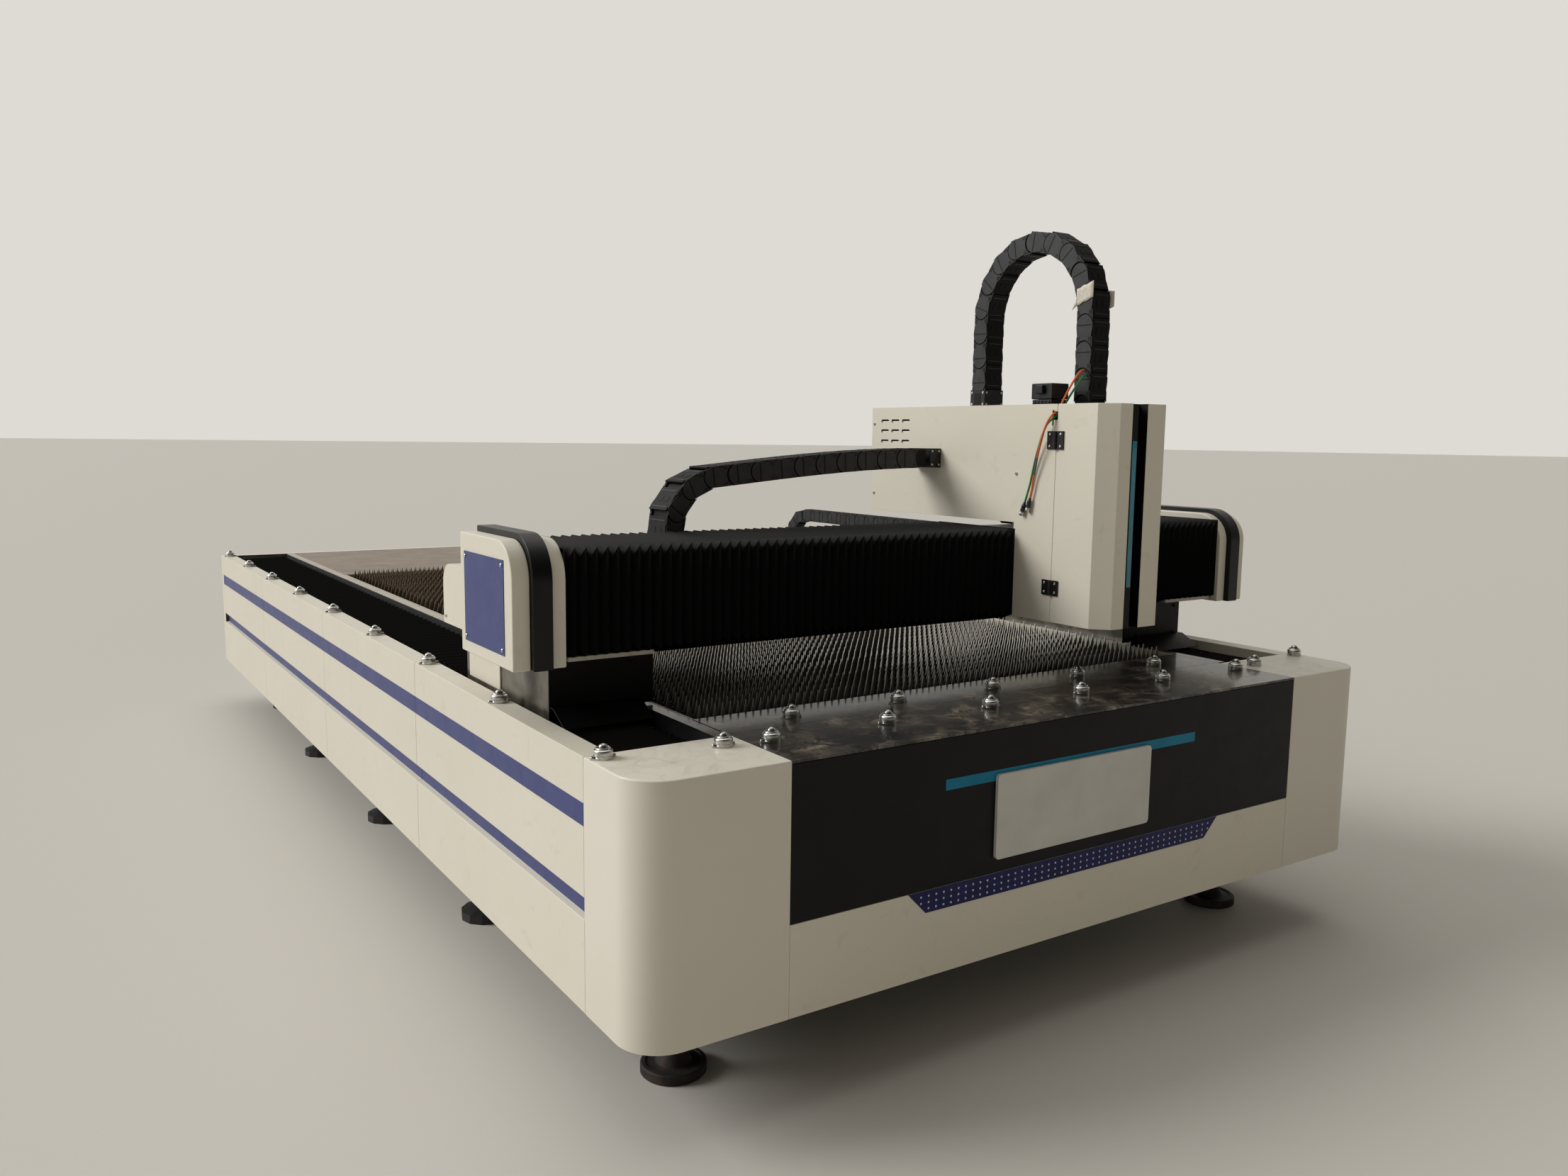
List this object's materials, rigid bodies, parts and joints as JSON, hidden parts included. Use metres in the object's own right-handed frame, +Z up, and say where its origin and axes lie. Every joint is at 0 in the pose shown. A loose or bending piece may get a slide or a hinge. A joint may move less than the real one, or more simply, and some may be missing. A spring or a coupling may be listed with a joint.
{
  "type": "fiber laser cutting machine",
  "caption": "Open flatbed fiber laser cutting machine: slat table, gantry on rack drives, X carriage with hooded Z axis and cutting head, bellows and cable chains.",
  "frame": {"origin": "on the floor under the middle of the machine", "axes": "+Z up, +Y from the front of the machine to its rear, +X along the gantry to the operator's right"},
  "size_m": [2.4126, 4.7, 1.9401],
  "materials": {
    "white_paint": "warm white satin powder coat",
    "frame_paint": "dark grey satin paint",
    "black_paint": "satin black",
    "cut_steel": "dark, smudged mill finish",
    "cast_iron": "black, rough",
    "bellows_fabric": "black coated fabric",
    "chain_plastic": "black moulded nylon",
    "green_jacket": "satin green jacket",
    "orange_jacket": "satin orange jacket"
  },
  "bodies": {
    "bed": {"frame_beam_left": "frame_paint", "frame_beam_right": "frame_paint", "frame_cross_front": "frame_paint", "frame_cross_centre": "frame_paint", "frame_cross_rear": "frame_paint", "side_panel_upper_left": "white_paint", "side_panel_upper_right": "white_paint", "side_panel_lower_left": "white_paint", "side_panel_lower_right": "white_paint", "corner_cover_left": "white_paint", "corner_cover_right": "white_paint", "front_panel_upper": "black_paint", "front_panel_lower": "white_paint", "front_top_plate": "cut_steel", "slat_end_plate": "cut_steel", "rear_table_plate": "white_paint", "rear_panel": "white_paint", "slat_bed": "cut_steel", "levelling_foot_front_left": "cast_iron", "levelling_foot_front_right": "cast_iron", "levelling_foot_rear_left": "cast_iron", "levelling_foot_rear_right": "cast_iron", "y_chain_tray": "white_paint", "y_chain": "chain_plastic", "y_bellows_front_left": "bellows_fabric", "y_bellows_front_right": "bellows_fabric", "y_bellows_rear_left": "bellows_fabric", "y_bellows_rear_right": "bellows_fabric"},
    "gantry": {"gantry_beam": "white_paint", "saddle_left": "cut_steel", "saddle_right": "cut_steel", "saddle_cover_left": "black_paint", "saddle_cover_right": "black_paint", "y_drive_left": "white_paint", "y_drive_right": "white_paint", "end_cap_left": "white_paint", "end_cap_right": "white_paint", "cap_band_left": "black_paint", "cap_band_right": "black_paint", "x_bellows_left": "bellows_fabric", "x_bellows_right": "bellows_fabric", "x_chain": "chain_plastic"},
    "carriage": {"carriage_plate": "frame_paint", "hood": "white_paint", "z_motor": "black_paint", "door_hinge_upper": "black_paint", "door_hinge_lower": "black_paint", "z_chain": "chain_plastic", "lead_green": "green_jacket", "lead_orange": "orange_jacket", "connector_green": "black_paint", "connector_orange": "black_paint"},
    "door": {"hood_door": "white_paint", "door_channel": "black_paint"},
    "head": {"head_slide": "cut_steel", "laser_head": "black_paint"},
    "z_screw": {"z_ball_screw": "cut_steel"},
    "y_pinion_left": {"y_pinion_left": "cut_steel"},
    "y_pinion_right": {"y_pinion_right": "cut_steel"},
    "x_pinion": {"x_pinion": "cut_steel"}
  },
  "joints": [
    {"name": "gantry_travel", "type": "slide", "parent": "bed", "child": "gantry", "axis": [0, 1, 0], "range_m": [-0.05, 3.15], "deforming": ["y_chain", "y_bellows_front_left", "y_bellows_front_right", "y_bellows_rear_left", "y_bellows_rear_right"]},
    {"name": "carriage_travel", "type": "slide", "parent": "gantry", "child": "carriage", "axis": [1, 0, 0], "range_m": [-1.1, 0.4], "deforming": ["x_bellows_left", "x_bellows_right", "x_chain"]},
    {"name": "head_travel", "type": "slide", "parent": "carriage", "child": "head", "axis": [0, 0, 1], "range_m": [-0.12, 0], "deforming": ["z_chain"]},
    {"name": "door_swing", "type": "hinge", "parent": "carriage", "child": "door", "pos_m": [0.2145, -2.0185, 1.185], "axis": [0, 0, -1], "range_deg": [0, 110]},
    {"name": "z_screw_turn", "type": "hinge", "parent": "carriage", "child": "z_screw", "pos_m": [0.268, -1.945, 1.15], "axis": [0, 0, 1], "range_deg": [-4330, 10]},
    {"name": "y_pinion_left_turn", "type": "hinge", "parent": "gantry", "child": "y_pinion_left", "pos_m": [-0.9286, -1.35, 0.65], "axis": [0, 0, 1], "range_deg": [-6020, 100]},
    {"name": "y_pinion_right_turn", "type": "hinge", "parent": "gantry", "child": "y_pinion_right", "pos_m": [0.9286, -1.35, 0.65], "axis": [0, 0, 1], "range_deg": [-100, 6020]},
    {"name": "x_pinion_turn", "type": "hinge", "parent": "carriage", "child": "x_pinion", "pos_m": [0.422, -1.855, 0.9784], "axis": [0, 1, 0], "range_deg": [-770, 2110]}
  ],
  "couplings": [
    {"joint": "z_screw_turn", "follows": "head_travel", "rad_per_m": 628.32},
    {"joint": "y_pinion_left_turn", "follows": "gantry_travel", "rad_per_m": -33.333},
    {"joint": "y_pinion_right_turn", "follows": "gantry_travel", "rad_per_m": 33.333},
    {"joint": "x_pinion_turn", "follows": "carriage_travel", "rad_per_m": -33.333}
  ]
}
